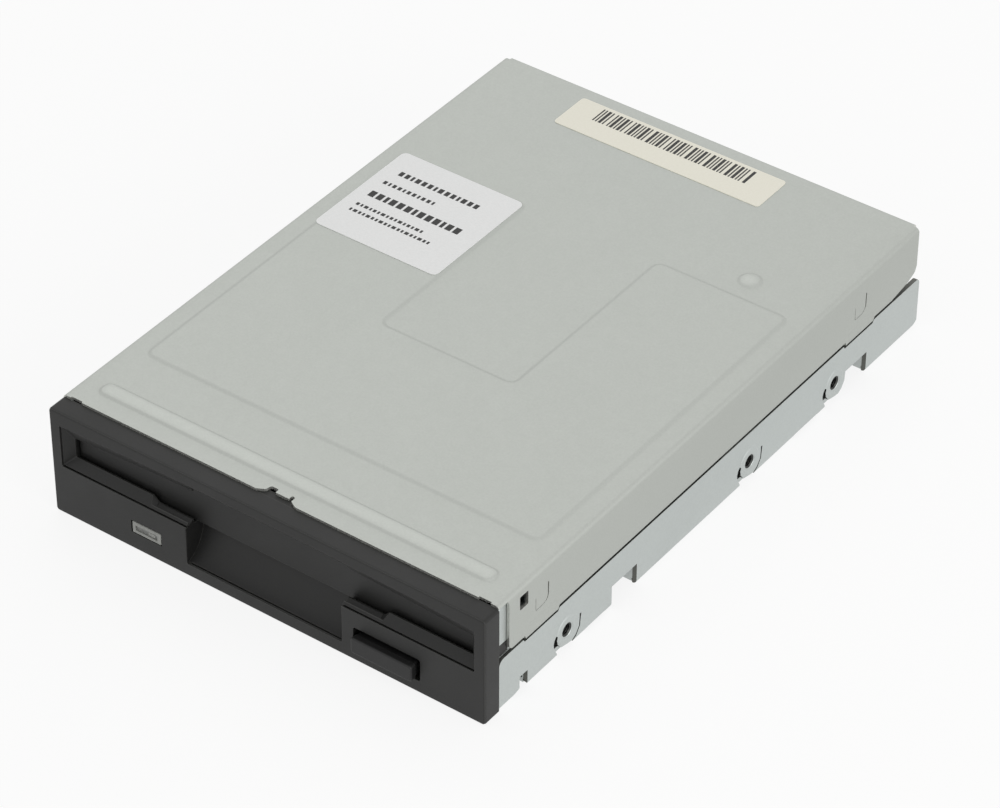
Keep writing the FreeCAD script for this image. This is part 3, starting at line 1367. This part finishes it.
def build_board():
    body = Piece("main_board")
    half = s.board_half_width
    gap = s.board_clearance
    body.pad("XY", board_under, board_top, rectangle(-half, half, s.board_front, s.board_back))
    bracket = s.bracket_half_width + gap
    clamp = s.clamp_half_width + gap
    body.pocket("XY", board_under - s.cut_over, board_top + s.cut_over,
                rectangle(s.screw_right - bracket, s.screw_right + bracket,
                          stepper_front - s.bracket_foot - s.bracket_board_gap, s.board_back + s.cut_over),
                rectangle(-s.rod_left - clamp, -s.rod_left + clamp,
                          s.rod_back - s.clamp_length - gap, s.rod_back + gap),
                *[circle(*post, s.screw_shank_radius + s.fit_gap) for post in board_posts])
    body.finish()
    node(fuse([screw(*post, board_top, s.board_thickness + s.board_post_height) for post in board_posts]),
         "board_screws")

    # Signal header: a shroud with its rear mouth and two rows of pins
    rear = s.board_back + s.cut_over
    left = -s.data_left
    right = left + s.data_width
    header = Piece("data_header")
    top = board_top + s.data_height
    header.pad("XZ", rear - s.data_depth, rear, rectangle(left, right, board_top, top))
    header.pocket("XZ", rear - s.data_depth + s.data_wall, rear + s.cut_over,
                  rectangle(left + s.data_wall, right - s.data_wall, board_top + s.data_wall,
                            top - s.data_wall))
    middle = left + s.data_width / 2
    header.pocket("XZ", rear - s.data_depth + s.data_wall, rear + s.cut_over,
                  rectangle(middle - s.data_key / 2, middle + s.data_key / 2, top - s.data_wall - s.fit_gap,
                            top + s.cut_over))
    header.finish()
    row_height = float(board_top + s.data_height / 2)
    first = float(middle) - (float(s.data_columns) - 1) / 2 * float(s.data_pitch)
    side = float(s.data_pin)
    pin_front = float(rear - s.data_depth + s.data_wall)
    pin_length = float(s.data_depth - s.data_wall - s.cut_over)
    pins = []
    for column in range(int(float(s.data_columns))):
        for row in (-0.5, 0.5):
            corner = FreeCAD.Vector(first + column * float(s.data_pitch) - side / 2, pin_front,
                                    row_height + row * float(s.data_pitch) - side / 2)
            pins.append(Part.makeBox(side, pin_length, side, corner))
    made_by_code("data_pins", Part.makeCompound(pins))

    power = Piece("power_header")
    left = s.power_left
    right = left + s.power_width
    top = board_top + s.power_height
    wall = s.power_wall
    power.pad("XZ", rear - s.power_depth, rear, rectangle(left, right, board_top, top))
    power.pocket("XZ", rear - s.power_depth + wall, rear + s.cut_over,
                 rectangle(left + wall, right - wall, board_top + wall, top - wall))
    power.finish()
    side = float(s.power_pin)
    count = 4
    first = float(left + s.power_width / 2) - (count - 1) / 2 * float(s.power_pitch)
    pins = [Part.makeBox(side, float(s.power_depth - wall - s.cut_over), side, FreeCAD.Vector(
        first + column * float(s.power_pitch) - side / 2, float(rear - s.power_depth + wall),
        float(board_top + s.power_height / 2) - side / 2)) for column in range(count)]
    made_by_code("power_pins", Part.makeCompound(pins))

    node(box(-s.chip_left, -s.chip_left + s.chip_side, s.chip_front, s.chip_front + s.chip_side,
             board_top, board_top + s.chip_height), "controller_chip")
    node(box(s.driver_right, s.driver_right + s.driver_width, s.driver_front,
             s.driver_front + s.driver_length, board_top, board_top + s.chip_height), "driver_chip")
    node(box(-s.resonator_left, -s.resonator_left + s.resonator_width, s.resonator_front,
             s.resonator_front + s.resonator_length, board_top, board_top + s.resonator_height), "resonator")
    node(fuse([cylinder("z", s.capacitor_across, s.capacitor_back + step * s.capacitor_pitch, board_top,
                        s.capacitor_radius, s.capacitor_height) for step in range(2)]), "capacitors")
    small = [box(s.small_part_pitch * step, s.small_part_pitch * step + s.small_part_width,
                 s.driver_front, s.driver_front + s.small_part_length, board_top,
                 board_top + s.small_part_height) for step in range(int(float(s.small_part_count)))]
    node(fuse(small), "small_components")

    # Socket of the heads' flat ribbon
    socket_right = -s.socket_left + s.socket_width
    node(box(-s.socket_left, socket_right, s.socket_back, s.socket_back + s.socket_depth,
             board_top, board_top + s.socket_height), "ribbon_socket")

    fork = Piece("track_sensor")
    sensor_half = s.sensor_half_width
    flag_middle = sleeve_back - s.flag_length / 2
    fork.pad("YZ", -s.sensor_left - sensor_half, -s.sensor_left + sensor_half,
             rectangle(flag_middle - s.sensor_length / 2, flag_middle + s.sensor_length / 2,
                       board_top, board_top + s.sensor_height))
    fork.pocket("YZ", -s.sensor_left - s.sensor_gap / 2, -s.sensor_left + s.sensor_gap / 2,
                rectangle(flag_middle - s.sensor_length, flag_middle + s.sensor_length,
                          board_top + s.sensor_base, board_top + s.sensor_height + s.cut_over))
    fork.finish()


def build_switches():
    cases = []
    for side, name in ((-1, "protect_plunger"), (1, "density_plunger")):
        across = side * s.switch_across
        case = Piece("switch_case")
        half = s.switch_half_side
        case.pad("XY", floor_top, s.switch_top,
                 rectangle(across - half, across + half, s.switch_back - half, s.switch_back + half))
        case.pocket("XY", floor_top + s.chassis_sheet, s.switch_top + s.cut_over,
                    circle(across, s.switch_back, s.plunger_radius + s.running_clearance))
        case.settle()
        cases.append(case.shape)
        node(cylinder("z", across, s.switch_back, s.plunger_low, s.plunger_radius,
                      s.plunger_top - s.plunger_low), name)
    node(fuse(cases), "switch_cases")


BUILDERS = [build_chassis, build_cover, build_labels, build_bezel, build_lamp, build_door, build_button,
            build_slide, build_holder, build_lever, build_motor, build_carriage, build_screw_drive,
            build_board, build_switches]


def main():
    for build in BUILDERS:
        build()
    doc.recompute()
    faults = [f"{item.Name} {item.State}" for item in doc.Objects
              if {"Invalid", "Error"} & set(item.State)]
    for item in nodes:
        if item.Shape.isNull() or not item.Shape.isValid() or not item.Shape.Solids:
            faults.append(f"{item.Label} has no valid solid")
    if faults:
        raise ValueError("; ".join(faults))
    os.makedirs("parts", exist_ok=True)
    for item in nodes:
        item.Shape.exportStep(f"parts/{item.Label}.step")
        print(item.Label, len(item.Shape.Solids), "solids", round(item.Shape.Volume, 1), "mm3")


main()
